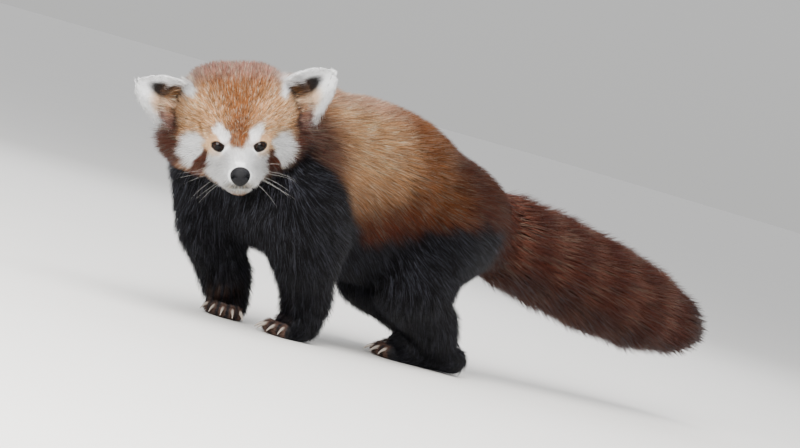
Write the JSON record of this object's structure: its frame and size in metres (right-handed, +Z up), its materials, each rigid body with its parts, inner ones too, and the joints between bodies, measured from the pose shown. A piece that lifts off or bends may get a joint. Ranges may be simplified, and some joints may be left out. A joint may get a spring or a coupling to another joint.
{
  "type": "red panda",
  "caption": "Still, life-size red panda standing on all fours with its head turned to its left, long coat and tail in locks, on four flat soles.",
  "frame": {"origin": "on the floor, under the middle of the model's box", "axes": "+X to the animal's left, +Y back along the body to the tail, +Z up"},
  "size_m": [0.2124, 0.9104, 0.2938],
  "materials": {
    "coat_face": "short dense fur, orange-brown with white brows, muzzle and cheeks",
    "coat_white": "long soft cream-white fur on the ears",
    "coat_rust": "dense rust-brown coat with lighter tips over the back",
    "coat_black": "black underparts and legs with a soft bluish sheen",
    "coat_tail": "long shaggy red-brown fur with faint paler rings",
    "eye": "wet, near-black brown",
    "nose": "damp, pebbled black skin",
    "claw": "pale horn, smooth and slightly translucent"
  },
  "bodies": {
    "root": {"eye_left": "eye", "eye_right": "eye", "nose": "nose", "head": "coat_face", "ear_left": "coat_white", "ear_right": "coat_white", "torso": "coat_rust", "neck": "coat_black", "tail": "coat_tail", "foreleg_right": "coat_black", "foreleg_right_paw": "coat_black", "foreleg_left": "coat_black", "foreleg_left_paw": "coat_black", "hindleg_right": "coat_black", "hindleg_right_paw": "coat_black", "hindleg_left": "coat_black", "hindleg_left_paw": "coat_black", "foreleg_right_claw_1": "claw", "foreleg_right_claw_2": "claw", "foreleg_right_claw_3": "claw", "foreleg_right_claw_4": "claw", "foreleg_right_claw_5": "claw", "foreleg_left_claw_1": "claw", "foreleg_left_claw_2": "claw", "foreleg_left_claw_3": "claw", "foreleg_left_claw_4": "claw", "foreleg_left_claw_5": "claw", "hindleg_right_claw_1": "claw", "hindleg_right_claw_2": "claw", "hindleg_right_claw_3": "claw", "hindleg_right_claw_4": "claw", "hindleg_right_claw_5": "claw", "hindleg_left_claw_1": "claw", "hindleg_left_claw_2": "claw", "hindleg_left_claw_3": "claw", "hindleg_left_claw_4": "claw", "hindleg_left_claw_5": "claw"}
  },
  "joints": []
}
